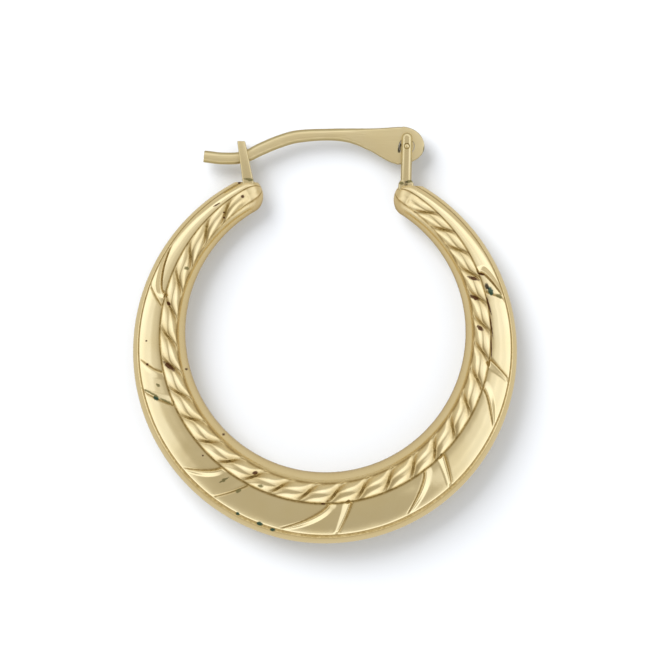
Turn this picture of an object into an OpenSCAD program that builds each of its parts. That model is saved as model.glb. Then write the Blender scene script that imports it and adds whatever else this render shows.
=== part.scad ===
// Creole hoop earring: a hollow hoop pressed in two mirrored halves, with a rope border
// and seven leaf wraps, a riveted ear wire at one tip and a forked catch at the other.
// The hoop lies on its side, leaning a little, because it is deepest opposite the ear wire.

/* [Hoop] */
// Diameter of the hoop over its outer edge
hoop_d = 24; // [22:0.5:28]
// Width of the band seen from the front, opposite the ear wire
width_mid = 4.45; // [4:0.05:5]
// Width of the band at its tips
width_end = 2.05; // [1.85:0.05:2.4]
// Depth of the hoop from front to back, opposite the ear wire
depth_mid = 3.4; // [3:0.1:4]
// Depth of the hoop at its tips
depth_end = 2.2; // [2.05:0.05:2.6]
// Thickness of the pressed metal
wall = 0.2; // [0.15:0.05:0.3]

/* [Tips] */
// Clear gap between the two tips
tip_gap = 8.4; // [7.6:0.1:9.2]
// Length of the rounded nose on each tip
nose_len = 0.95; // [0.8:0.05:1.1]
// How far below the hoop's outer height the tips are filed flat
flat_drop = 1.55; // [1.45:0.05:1.7]

/* [Rope and wraps] */
// Number of strands along the rope
strands = 30; // [25:1:33]
// How much shorter the strands get towards both tips
strand_crowd = 0.1; // [0:0.01:0.15]
// How much longer the strands get towards the catch
strand_drift = 0.035; // [0:0.005:0.06]
// Angle along the hoop that a strand takes to cross the rope
strand_lean = 9; // [6:1:12]
// Depth of the notches between strands
strand_relief = 0.24; // [0.15:0.01:0.28]
// Height of the leaf edges of the wraps above the panel
wrap_relief = 0.14; // [0.1:0.02:0.2]
// Width of one leaf edge
leaf_w = 0.8; // [0.6:0.05:0.9]

/* [Ear wire] */
// Width of the wire seen from the front
wire_w = 0.74; // [0.65:0.01:0.85]
// Thickness of the wire from front to back
wire_t = 0.7; // [0.6:0.05:0.8]
// Widest part of the flattened paddle that the rivet holds
paddle_w = 2.4; // [2.2:0.05:2.6]
// Thickness of the paddle
paddle_t = 0.5; // [0.4:0.05:0.6]
// How far the paddle reaches past the rivet
paddle_reach = 1.1; // [0.95:0.05:1.2]
// How far the free end reaches past the catch
wire_tail = 2.5; // [2:0.1:3]
// Height of the wire's crest above the rivet
crest_rise = 0.65; // [0.4:0.05:0.9]
// Drop from the rivet down to where the wire lies in the catch
seat_drop = 0.84; // [0.7:0.02:0.95]

/* [Hinge] */
// Distance from a tip's nose to the middle of the hinge ears
hinge_inset = 0.63; // [0.55:0.01:0.75]
// Height of the rivet above the filed flat
pivot_rise = 2.47; // [2.2:0.01:2.8]
// Width of a hinge ear
ear_w = 0.67; // [0.6:0.01:0.75]
// Thickness of a hinge ear
ear_t = 0.3; // [0.25:0.05:0.4]
// Height of an ear's round top above the rivet
ear_crest = 0.86; // [0.6:0.02:0.95]
// Width of the solder foot under the ears
foot_w = 0.95; // [0.85:0.05:1.1]
// Height of the solder foot above the filed flat
foot_h = 0.36; // [0.24:0.02:0.5]
// Diameter of the hole through the paddle
hole_d = 1.06; // [0.9:0.02:1.1]
// Clearance around the rivet's barrel in that hole
hinge_gap = 0.09; // [0.05:0.01:0.1]
// Clearance between the paddle and each ear
side_gap = 0.06; // [0.04:0.01:0.1]
// Diameter of the rivet's ends in the ears
rivet_d = 0.34; // [0.28:0.02:0.38]

/* [Catch] */
// Distance from a tip's nose to the middle of the fork's root
catch_inset = 0.83; // [0.75:0.01:0.95]
// Width of the fork at its root
fork_root = 0.7; // [0.6:0.05:0.8]
// Width of a prong at its end
fork_top = 0.5; // [0.4:0.05:0.6]
// Thickness of a prong
prong_t = 0.3; // [0.25:0.05:0.4]
// Height of the prongs above the filed flat
fork_rise = 2.55; // [2.3:0.05:2.8]
// Angle that the fork leans outwards
fork_lean = 11; // [6:1:14]
// Clearance around the wire in the fork
catch_gap = 0.08; // [0.05:0.01:0.12]

/* [Hidden] */
$fn = 48;

// The first column of every table is the place that its other values belong to
place = 0;

// The band: place is 0 opposite the ear wire and 1 at the tips, and the others are the shares
// of the band's width taken by the inner rim, the rope and the outer rim
rim_share = 1;
rope_share = 2;
edge_share = 3;
bands = [
    [0.00, 0.165, 0.275, 0.125],
    [0.52, 0.165, 0.320, 0.125],
    [0.85, 0.205, 0.370, 0.120],
    [1.00, 0.290, 0.400, 0.120],
];

// The half section, from the inner seam over the front to the outer seam: place names the
// band, then come the share of that band's width, the height as a share of half the depth,
// and how much of the rope's or the wraps' relief is felt there
inner_rim = 0;
rope = 1;
panel = 2;
outer_rim = 3;
across = 1;
height = 2;
relief = 3;
section = [
    [inner_rim, 0.00, 0.00, 0.0],
    [inner_rim, 0.06, 0.34, 0.0],
    [inner_rim, 0.40, 0.64, 0.0],
    [inner_rim, 0.85, 0.78, 0.0],
    [rope, 0.00, 0.79, 0.0],
    [rope, 0.22, 0.93, 0.8],
    [rope, 0.50, 1.00, 1.0],
    [rope, 0.78, 0.93, 0.8],
    [rope, 1.00, 0.78, 0.0],
    [panel, 0.08, 0.84, 0.8],
    [panel, 0.50, 0.76, 1.0],
    [panel, 0.92, 0.57, 0.6],
    [outer_rim, 0.08, 0.51, 0.0],
    [outer_rim, 0.30, 0.48, 0.0],
    [outer_rim, 0.80, 0.29, 0.0],
    [outer_rim, 1.00, 0.00, 0.0],
];

// Half section of the hollow: place across its width, and height as a share of half the depth
hollow_height = 1;
hollow_section = [
    [0.00, 0.00],
    [0.04, 0.40],
    [0.20, 0.70],
    [0.50, 0.76],
    [0.75, 0.62],
    [0.94, 0.34],
    [1.00, 0.00],
];

// The wraps, in degrees from the point opposite the ear wire: where the long leaf starts at
// the rope and ends at the rim, and the same for the short leaf beside it
long_in = 0;
long_out = 1;
short_in = 2;
short_out = 3;
wraps = [
    [-108, -122, -106, -110],
    [-79, -86, -70.5, -76.5],
    [-39, -49, -30, -37],
    [4, -13, 10, 4],
    [42, 28, 49, 44],
    [79, 67, 87, 83],
    [119, 109, 110, 107],
];

// The ear wire: place along it (-1 free end, 0 catch, 1 rivet), the height of its middle
// (0 in the catch, 1 at the crest), and its growth in width towards the paddle
lift_share = 1;
growth = 2;
wire_rows = [
    [-1.00, -0.03, 0.00],
    [-0.50, -0.10, 0.00],
    [0.00, 0.00, 0.00],
    [0.10, 0.31, 0.02],
    [0.20, 0.62, 0.03],
    [0.32, 0.88, 0.03],
    [0.52, 1.00, 0.00],
    [0.66, 0.97, 0.11],
    [0.80, 0.81, 0.46],
    [0.92, 0.64, 0.90],
    [1.00, 0.56, 1.00],
];

// Phases of the rings along one strand, from notch to notch
ring_phases = [0, 0.15, 0.37, 0.63, 0.85];
// How sharply a strand's crown rises out of its notches
crown_power = 2.4;
// How strongly a wrap's long leaf bends on its way across the panel
leaf_power = 1.5;
// Angles round each nose at which it has a ring, and how far the rope's crown stands there
nose_rings = [20, 42, 62, 80];
nose_crown = 0.6;
// Rings along the hollow, and along the wire
hollow_rings = 48;
wire_rings = 34;
// Angle over which the lean of the strands, and of the wraps, dies away towards the tips
strand_fade = 20;
wrap_fade = 50;
// Angle along the hoop that the grid of the panel leans, as the wraps do
panel_lean = 9;
// Clearance of the rivet's ends in the ears, and how far they stay below the surface
rivet_gap = 0.02;
rivet_sink = 0.04;
// How deep the ears and the fork go into the filed tips
root_depth = 0.35;
// Solid metal left in each tip, as an angle before its nose begins
tip_solid = 7;
// Rounding of the wire's edges, and the size of its blunt free end
edge_round = 0.16;
blunt_share = 0.6;
// Where along the wire it thins to the paddle's thickness
thin_from = 0.55;
thin_len = 0.3;
// Where the paddle's round end begins, the angles of its rings, and its narrowest width
paddle_from = 0.95;
paddle_turns = [8 : 10 : 88];
paddle_tip = 0.12;
// Step used to take the wire's slope
slope_step = 0.01;

hoop_r = hoop_d / 2;
inner_r = (hoop_d - width_mid - width_end) / 2;
inner_shift = (width_mid - width_end) / 2;
flat_y = hoop_r - flat_drop;
nose_r = hoop_r - width_end / 2;
nose_arc = nose_len / nose_r * 180 / PI;
tip_angle = 180 - asin(tip_gap / 2 / nose_r);
half_sweep = tip_angle - nose_arc;

pivot = [tip_gap / 2 + hinge_inset, flat_y + pivot_rise];
fork_x = -tip_gap / 2 - catch_inset;
seat_y = pivot[1] - seat_drop;
seat_x = fork_x - (seat_y - flat_y) * tan(fork_lean);
crest_y = pivot[1] + crest_rise;
ear_span = paddle_t + 2 * side_gap;
slot_span = wire_t + 2 * catch_gap;

// Smooth value of column c of a table at place a, by cubic pieces through its rows
function row_at(rows, a, i = 0) =
    i >= len(rows) - 2 || a < rows[i + 1][place] ? i : row_at(rows, a, i + 1);
function tangent(rows, c, i) =
    let (lo = rows[max(i - 1, 0)], hi = rows[min(i + 1, len(rows) - 1)])
    (hi[c] - lo[c]) / (hi[place] - lo[place]);
function smooth(rows, c, a) =
    let (i = row_at(rows, a), from = rows[i], to = rows[i + 1], step = to[place] - from[place])
    let (t = (a - from[place]) / step, bend = t * (1 - t))
    from[c] + (to[c] - from[c]) * t * t * (3 - 2 * t)
        + bend * step * ((1 - t) * tangent(rows, c, i) - t * tangent(rows, c, i + 1));
function mix(from, to, t) = from + (to - from) * t;
function ease(t) = let (s = max(0, min(1, t))) s * s * (3 - 2 * s);

// The band at angle a, counted from the point opposite the ear wire
function turn_at(a) = (1 - cos(a)) / (1 - cos(tip_angle));
function inner_at(a) =
    -inner_shift * cos(a) + sqrt(inner_r * inner_r - pow(inner_shift * sin(a), 2));
function half_depth(a) = mix(depth_mid, depth_end, turn_at(a)) / 2;
function band_edges(a) =
    let (rim_w = smooth(bands, rim_share, turn_at(a)))
    let (rope_w = smooth(bands, rope_share, turn_at(a)))
    [0, rim_w, rim_w + rope_w, 1 - smooth(bands, edge_share, turn_at(a)), 1];
function radius_at(a, which, t) =
    let (edges = band_edges(a), inner = inner_at(a))
    inner + (hoop_r - inner) * mix(edges[which], edges[which + 1], t);
function on_ring(a, r, z) = [r * sin(a), -r * cos(a), z];

// Angle at which a strand's own count falls, with the strands crowded a little at the tips
function strand_angle(n) =
    let (s = 2 * n / strands - 1, inward = 1 - s * s)
    half_sweep * (s + inward * (strand_crowd * s + strand_drift));
// Rounded crown of a strand from notch to notch
function crown(phase) = 1 - pow(abs(2 * phase - 1), crown_power);

// How far the grid leans at a row of the section, so that its rings follow the strands
function rope_lean(row) =
    row[place] == inner_rim ? 0.5
    : row[place] == rope ? 0.5 - acos(1 - 2 * row[across]) / 180
    : -0.5;
function leaf_bend(t) = pow(t, leaf_power);
function wrap_lean(row) =
    row[place] < panel ? 0 : row[place] == panel ? leaf_bend(row[across]) : 1;
function leaned(a, row) =
    a + strand_lean * rope_lean(row) * ease((half_sweep - abs(a)) / strand_fade)
        - panel_lean * wrap_lean(row) * ease((half_sweep - abs(a)) / wrap_fade);

// Height of the leaf edges at angle a, t of the way across the panel
function leaf(offset, r) =
    let (s = offset * PI / 180 * r / (leaf_w / 2)) max(0, 1 - s * s);
function leaves(a, t, r) = max([
    for (w = wraps)
        max(leaf(a - mix(w[long_in], w[long_out], leaf_bend(t)), r),
            leaf(a - mix(w[short_in], w[short_out], t), r))
]);

// One point of the skin: a ring holds its angle, its strand's crown and its squeeze at a nose
function skin_point(ring, row, side) =
    let (a = leaned(ring[0], row), r = radius_at(a, row[place], row[across]))
    let (deep = half_depth(a), middle = (inner_at(a) + hoop_r) / 2)
    let (dip = row[place] == rope ? (ring[1] - 1) * strand_relief * deep / (depth_mid / 2) : 0)
    let (rise = row[place] == panel ? leaves(a, row[across], r) * wrap_relief : 0)
    let (z = deep * row[height] + row[relief] * (dip + rise))
    on_ring(a, mix(middle, r, ring[2]), side * z * ring[2]);
function nose_ring(side, turned) =
    [side * (half_sweep + nose_arc * sin(turned)), nose_crown, cos(turned)];
skin_rings = concat(
    [for (i = [len(nose_rings) - 1 : -1 : 0]) nose_ring(-1, nose_rings[i])],
    [for (n = [0 : strands - 1]) for (p = ring_phases) [strand_angle(n + p), crown(p), 1]],
    [[half_sweep, crown(1), 1]],
    [for (turned = nose_rings) nose_ring(1, turned)]
);
rows_across = len(section);
ring_size = 2 * (rows_across - 1);
function skin_ring(ring) = concat(
    [for (i = [0 : rows_across - 1]) skin_point(ring, section[i], 1)],
    [for (i = [rows_across - 2 : -1 : 1]) skin_point(ring, section[i], -1)]
);
function nose_end(side) = on_ring(side * tip_angle, nose_r, 0);
skin_points = concat(
    [for (ring = skin_rings) each skin_ring(ring)],
    [nose_end(-1), nose_end(1)]
);

// The hollow inside the skin
hollow_end = half_sweep - tip_solid;
hollow_last = len(hollow_section) - 1;
function hollow_point(a, row, side) =
    let (low = inner_at(a) + wall, high = hoop_r - wall)
    on_ring(a, mix(low, high, row[place]), side * row[hollow_height] * (half_depth(a) - wall));
function hollow_ring(a) = concat(
    [for (i = [0 : hollow_last]) hollow_point(a, hollow_section[i], 1)],
    [for (i = [hollow_last - 1 : -1 : 1]) hollow_point(a, hollow_section[i], -1)]
);
function hollow_middle(a) = on_ring(a, (inner_at(a) + hoop_r) / 2, 0);
hollow_points = concat(
    [for (i = [0 : hollow_rings]) each hollow_ring(mix(-hollow_end, hollow_end, i / hollow_rings))],
    [hollow_middle(-hollow_end), hollow_middle(hollow_end)]
);

// The ear wire's middle line, its width and its thickness at place s
function wire_x(s) = s < 0 ? seat_x + s * wire_tail : mix(seat_x, pivot[0], s);
function wire_y(s) = mix(seat_y, crest_y, smooth(wire_rows, lift_share, s));
function wire_width(s) = mix(wire_w, paddle_w, smooth(wire_rows, growth, s));
function wire_thick(s) = mix(wire_t, paddle_t, ease((s - thin_from) / thin_len));
function wire_slope(s) =
    atan((wire_y(s + slope_step) - wire_y(s - slope_step))
        / (wire_x(s + slope_step) - wire_x(s - slope_step)));

// A wire ring is [middle x, middle y, slope, width, thickness]
function wire_ring_at(s) =
    [wire_x(s), wire_y(s), wire_slope(min(s, paddle_from)), wire_width(s), wire_thick(s)];
function wire_blunt() =
    let (r = wire_ring_at(-1)) [r[0], r[1], r[2], r[3] * blunt_share, r[4] * blunt_share];
blunt_from = edge_round / 2 / wire_tail - 1;
paddle_len = pivot[0] + paddle_reach - wire_x(paddle_from);
function paddle_ring(turned) =
    let (r = wire_ring_at(paddle_from))
    [r[0] + paddle_len * sin(turned), mix(r[1], pivot[1], sin(turned)), r[2] * cos(turned),
     paddle_w * max(cos(turned), paddle_tip), paddle_t];
wire_list = concat(
    [wire_blunt()],
    [for (i = [0 : wire_rings]) wire_ring_at(mix(blunt_from, paddle_from, i / wire_rings))],
    [for (turned = paddle_turns) paddle_ring(turned)]
);

// Outline of a wire's section, with three points round each of its four edges
corner_signs = [[1, 1], [-1, 1], [-1, -1], [1, -1]];
corner_count = 3;
function wire_corner(k, w, t, e) =
    let (mid = e * (1 - sqrt(0.5)))
    let (by_side = [k[0] * w, k[1] * (t - e)], by_top = [k[0] * (w - e), k[1] * t])
    let (between = [k[0] * (w - mid), k[1] * (t - mid)])
    k[0] * k[1] > 0 ? [by_side, between, by_top] : [by_top, between, by_side];
function wire_outline(ring) =
    let (w = ring[3] / 2, t = ring[4] / 2, e = min(edge_round, w * blunt_share, t * blunt_share))
    [for (k = corner_signs) each wire_corner(k, w, t, e)];
function wire_ring_points(ring) =
    [for (p = wire_outline(ring))
        [ring[0] - p[0] * sin(ring[2]), ring[1] + p[0] * cos(ring[2]), p[1]]];
wire_points = concat(
    [for (ring = wire_list) each wire_ring_points(ring)],
    [[wire_x(-1), wire_y(-1), 0]],
    [[pivot[0] + paddle_reach, pivot[1], 0]]
);

// Faces of a closed tube of rings, each of size points, with a middle point for each end
function tube_faces(rings, size) = concat(
    [for (i = [0 : rings - 2]) for (j = [0 : size - 1])
        let (a = i * size + j, b = i * size + (j + 1) % size)
        each [[b, a, a + size], [b, a + size, b + size]]],
    [for (j = [0 : size - 1]) [j, (j + 1) % size, rings * size]],
    [for (j = [0 : size - 1])
        let (last = (rings - 1) * size)
        [last + (j + 1) % size, last + j, rings * size + 1]]
);

// The pose of the earring on a flat surface: it rests on the rope's crown, opposite the ear
// wire and at both tips, and its middle is over the origin
rope_middle = 0.5;
function crown_reach(a) = -radius_at(a, rope, rope_middle) * cos(a);
rest_lean = atan((half_depth(0) - half_depth(half_sweep))
    / (crown_reach(half_sweep) - crown_reach(0)));
rest_lift = -min([for (p = skin_points) p[2] * cos(rest_lean) - p[1] * sin(rest_lean)]);
rest_shift = (hoop_r - max([for (p = wire_points) p[1]])) / 2;
module laid() {
    translate([0, rest_shift, rest_lift]) rotate([-rest_lean, 0, 0]) children();
}

// A block that spans the given depth, even about the hoop's middle plane
module across_hoop(depth) {
    translate([0, 0, -depth / 2]) linear_extrude(depth) children();
}

module skin() {
    polyhedron(points = skin_points, faces = tube_faces(len(skin_rings), ring_size));
}

module hollow() {
    polyhedron(points = hollow_points, faces = tube_faces(hollow_rings + 1, 2 * hollow_last));
}

module filed_off() {
    translate([-hoop_d, flat_y, -depth_mid]) cube([2 * hoop_d, hoop_d, 2 * depth_mid]);
}

module ear_outline() {
    translate([pivot[0] - ear_w / 2, flat_y - root_depth])
        square([ear_w, root_depth + pivot_rise + ear_crest - ear_w / 2]);
    translate([pivot[0], pivot[1] + ear_crest - ear_w / 2]) circle(d = ear_w);
}

module foot_outline() {
    translate([pivot[0], flat_y])
        polygon([[-foot_w / 2, -root_depth], [foot_w / 2, -root_depth], [foot_w / 2, foot_h / 3],
                 [ear_w / 2, foot_h], [-ear_w / 2, foot_h], [-foot_w / 2, foot_h / 3]]);
}

// Two ears on a solder foot, with a hole for the rivet
module hinge_ears() {
    difference() {
        across_hoop(ear_span + 2 * ear_t) {
            ear_outline();
            foot_outline();
        }
        translate([pivot[0] - foot_w, pivot[1] - paddle_w / 2 - side_gap, -ear_span / 2])
            cube([2 * foot_w, paddle_w + ear_crest, ear_span]);
        translate([pivot[0], pivot[1], -depth_mid])
            cylinder(d = rivet_d + 2 * rivet_gap, h = 2 * depth_mid);
    }
}

// One blade with a slot from its top down to where the wire lies
module catch_fork() {
    lean_x = fork_rise * tan(fork_lean);
    slot_y = seat_y - wire_w / 2 - catch_gap;
    difference() {
        across_hoop(slot_span + 2 * prong_t)
            translate([fork_x, flat_y])
                polygon([[-fork_root / 2, -root_depth], [fork_root / 2, -root_depth],
                         [fork_root / 2, 0], [fork_top / 2 - lean_x, fork_rise],
                         [-fork_top / 2 - lean_x, fork_rise], [-fork_root / 2, 0]]);
        translate([fork_x - fork_rise, slot_y, -slot_span / 2])
            cube([2 * fork_rise, fork_rise, slot_span]);
    }
}

module hoop() {
    color("#cdb26c") laid() {
        difference() {
            skin();
            hollow();
            filed_off();
        }
        hinge_ears();
        catch_fork();
    }
}

// Rivet with a barrel in the paddle's hole and an end in each ear
module hinge_pin() {
    barrel_h = ear_span - 2 * rivet_gap;
    end_h = ear_span + 2 * ear_t - 2 * rivet_sink;
    color("#b89a4e") laid() translate([pivot[0], pivot[1], 0]) {
        translate([0, 0, -barrel_h / 2]) cylinder(d = hole_d - 2 * hinge_gap, h = barrel_h);
        translate([0, 0, -end_h / 2]) cylinder(d = rivet_d, h = end_h);
    }
}

module ear_wire() {
    color("#c2a55a") laid() difference() {
        polyhedron(points = wire_points,
                   faces = tube_faces(len(wire_list), len(corner_signs) * corner_count));
        translate([pivot[0], pivot[1], -wire_t]) cylinder(d = hole_d, h = 2 * wire_t);
    }
}

hoop();
hinge_pin();
ear_wire();
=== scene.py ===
import math
from functools import reduce

import bmesh
import bpy
from mathutils import Matrix, Vector


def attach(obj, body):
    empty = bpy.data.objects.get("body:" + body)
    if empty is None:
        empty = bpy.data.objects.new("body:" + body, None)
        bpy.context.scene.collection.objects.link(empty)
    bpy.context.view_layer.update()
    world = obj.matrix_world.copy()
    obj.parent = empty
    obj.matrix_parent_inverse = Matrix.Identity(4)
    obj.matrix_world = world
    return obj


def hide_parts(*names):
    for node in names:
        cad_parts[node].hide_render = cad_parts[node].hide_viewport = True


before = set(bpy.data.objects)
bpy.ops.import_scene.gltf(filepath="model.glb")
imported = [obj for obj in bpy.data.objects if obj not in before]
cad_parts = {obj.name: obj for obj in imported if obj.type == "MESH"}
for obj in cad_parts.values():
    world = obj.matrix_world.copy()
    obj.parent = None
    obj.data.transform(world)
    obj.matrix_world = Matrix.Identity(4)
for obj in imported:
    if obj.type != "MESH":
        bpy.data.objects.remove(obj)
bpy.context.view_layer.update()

# Hoop frame: millimetres, mid plane at z 0, the ear wire towards +y, angles counted from the
# point opposite the ear wire. hoopToRow lays it down on its rope crown and its two tips.
hoopSizes = {
    "diameter": 24.0,
    "widthMiddle": 4.45,
    "widthEnd": 2.05,
    "depthMiddle": 3.4,
    "depthEnd": 2.2,
    "tipGap": 8.4,
    "noseLength": 0.95,
    "noseSpread": 1.3,
    "flatDrop": 1.55,
    "wobble": 0.03,
    "wobbleScale": 0.7,
    "seed": 3.0,
    "along": 940,
    "across": 96,
    "restShift": -1.07598,
    "restLift": 1.40856,
    "restLean": 1.82024,
}
# start and span of each band in the mesh's rows, from the inner seam to the outer
meshBands = {"rim": (0.0, 0.16), "rope": (0.16, 0.32), "panel": (0.48, 0.39), "edge": (0.87, 0.13)}
# rises and falls of the smooth section, as shares of half the depth
sectionSizes = {
    "rimRise": 0.745,
    "rimPower": 0.52,
    "ropeRise": 0.255,
    "ropePower": 1.5,
    "ropeTilt": 0.09,
    "panelTilt": 0.035,
    "panelFall": 0.27,
    "edgeTilt": 0.20,
    "edgeFall": 0.34,
    "groove": 0.03,
    "grooveAt": 0.09,
    "grooveWidth": 0.05,
}
ropeSizes = {
    "strands": 30,
    "crowd": 0.1,
    "drift": 0.035,
    "lean": 9.0,
    "fade": 5.0,
    "notch": 0.29,
    "wallShare": 0.65,
    "wallPower": 2.4,
    "cleftShare": 0.35,
    "cleftPower": 12.0,
    "windowPower": 0.55,
}
leafSizes = {
    "height": 0.22,
    "halfWidth": 0.25,
    "crest": 0.45,
    "fadeIn": 0.06,
    "fadeOut": 0.10,
    "longTip": 0.15,
    "longPower": 3.0,
    "shortStart": 1.15,
    "shortLoss": 0.6,
    "crease": 0.06,
    "creaseAt": 0.42,
    "creaseWidth": 0.22,
    "shadeWidth": 0.38,
}
# how dark the tarnish and painted shade are in each line of the relief, and the line's place and width in
# its band
tarnishAndShadeSizes = {
    "seamWidth": 0.08,
    "rim": 0.8,
    "rimWidth": 0.10,
    "edge": 0.85,
    "edgeAt": 0.08,
    "edgeWidth": 0.10,
    "notchWidth": 0.20,
    "notchWiden": 0.12,
    "notchShade": 0.6,
    "notchShadeLoss": 0.25,
    "notchSpread": 2.8,
    "foot": 0.4,
    "footWidth": 0.09,
    "crease": 0.9,
    "innerSeam": 0.7,
    "innerSeamWidth": 0.4,
    "lowEdge": 0.75,
    "lowEdgeAt": 0.14,
    "lowEdgeWidth": 0.15,
    "tipFrom": 1.9,
    "tipSpan": 0.5,
    "ropeEnd": 0.06,
    "footFrom": 0.9,
    "lowFrom": 0.2,
    "lowSpan": 0.5,
    "bandFade": 14.0,
    "edgeFade": 0.02,
}
# turn (0 opposite the ear wire, 1 at the tips) with inner rim, rope and outer rim as width shares
bandTable = [
    (0.00, 0.165, 0.275, 0.125),
    (0.52, 0.165, 0.320, 0.125),
    (0.85, 0.205, 0.370, 0.120),
    (1.00, 0.290, 0.400, 0.120),
]
# each wrap: long leaf from rope to rim in degrees, its bend and its height, short leaf from rope
# to rim, and its height
wrapTable = [
    (-107.5, -122, 2.4, 1.0, -105.5, -110, 0.15),
    (-80, -86, 1.6, 0.3, -70.5, -76.5, 0.6),
    (-39, -49, 1.5, 0.7, -30, -37, 0.1),
    (4, -13, 1.5, 0.68, 10, 4.5, 0.9),
    (42, 28, 1.5, 0.66, 49, 44, 1.1),
    (79, 67, 1.5, 0.7, 87, 82, 1.0),
    (119, 109, 2.4, 1.0, 110, 107, 0.3),
]
hoopRadius = hoopSizes["diameter"] / 2
innerRadius = (hoopSizes["diameter"] - hoopSizes["widthMiddle"] - hoopSizes["widthEnd"]) / 2
innerShift = (hoopSizes["widthMiddle"] - hoopSizes["widthEnd"]) / 2
flatHeight = hoopRadius - hoopSizes["flatDrop"]
noseRadius = hoopRadius - hoopSizes["widthEnd"] / 2
noseArc = hoopSizes["noseLength"] / noseRadius
tipAngle = math.pi - math.asin(hoopSizes["tipGap"] / 2 / noseRadius)
halfSweep = tipAngle - noseArc
quarterTurn = math.pi / 2
sameLevel = 0.0001  # points this close to a plane are on it
mergeDistance = 0.0004

millimetre = 0.001
hoopToRow = (
    Matrix.Translation((0, hoopSizes["restShift"] * millimetre, hoopSizes["restLift"] * millimetre))
    @ Matrix.Rotation(-math.radians(hoopSizes["restLean"]), 4, "X")
    @ Matrix.Scale(millimetre, 4)
)


class Term:
    # a socket of a node tree that Python can calculate with
    def __init__(self, graph, socket):
        self.graph = graph
        self.socket = socket

    def maths(self, operation, *values, clamp=False):
        return self.graph.node(
            "ShaderNodeMath", {"operation": operation, "use_clamp": clamp}, dict(enumerate(values))
        )

    def __add__(self, other):
        return self.maths("ADD", self, other)

    def __radd__(self, other):
        return self.maths("ADD", other, self)

    def __sub__(self, other):
        return self.maths("SUBTRACT", self, other)

    def __rsub__(self, other):
        return self.maths("SUBTRACT", other, self)

    def __mul__(self, other):
        return self.maths("MULTIPLY", self, other)

    def __rmul__(self, other):
        return self.maths("MULTIPLY", other, self)

    def __truediv__(self, other):
        return self.maths("DIVIDE", self, other)

    def __pow__(self, other):
        return self.maths("POWER", self, other)

    def __abs__(self):
        return self.maths("ABSOLUTE", self)

    def __lt__(self, other):
        return self.maths("LESS_THAN", self, other)

    def __gt__(self, other):
        return self.maths("GREATER_THAN", self, other)

    def sin(self):
        return self.maths("SINE", self)

    def cos(self):
        return self.maths("COSINE", self)

    def arcsin(self):
        return self.maths("ARCSINE", self)

    def arccos(self):
        return self.maths("ARCCOSINE", self)

    def arctan2(self, other):
        return self.maths("ARCTAN2", self, other)

    def sqrt(self):
        return self.maths("SQRT", self)

    def exp(self):
        return self.maths("EXPONENT", self)

    def sign(self):
        return self.maths("SIGN", self)

    def fract(self):
        return self.maths("FRACT", self)

    def least(self, other):
        return self.maths("MINIMUM", self, other)

    def most(self, other):
        return self.maths("MAXIMUM", self, other)

    def clamped(self):
        return self.maths("ADD", self, 0.0, clamp=True)

    def eased(self):
        t = self.clamped()
        return t * t * (3.0 - 2.0 * t)

    def peak(self, place, width):
        # 1 at a place, and fading on both sides of it
        return (((self - place) / width) ** 2.0 * -1.0).exp()


class Graph:
    # a shader or geometry tree, and the one way in which its nodes are made
    def __init__(self, tree):
        self.tree = tree

    def plug(self, slot, value):
        if isinstance(value, Term):
            self.tree.links.new(value.socket, slot)
        elif value is not None:
            slot.default_value = value

    def node(self, kind, settings=None, sockets=None, out=0):
        made = self.tree.nodes.new(kind)
        for name, value in (settings or {}).items():
            if name == "curve":
                curve = made.mapping.curves[0]
                while len(curve.points) < len(value):
                    curve.points.new(0.5, 0.5)
                for point, place in zip(curve.points, value):
                    point.location = place
                made.mapping.update()
            else:
                setattr(made, name, value)
        for key, value in (sockets or {}).items():
            self.plug(made.inputs[key], value)
        return Term(self, made.outputs[out])

    def parts(self, vector):
        first = self.node("ShaderNodeSeparateXYZ", {}, {0: vector})
        return [Term(self, socket) for socket in first.socket.node.outputs]

    def curve(self, rows, value):
        return self.node("ShaderNodeFloatCurve", {"curve": rows}, {"Value": value})

    def colourMix(self, factor, low, high):
        return self.node("ShaderNodeMix", {"data_type": "RGBA"}, {0: factor, 6: low, 7: high}, out=2)


def blend(factor, low, high):
    return low + (high - low) * factor


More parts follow.
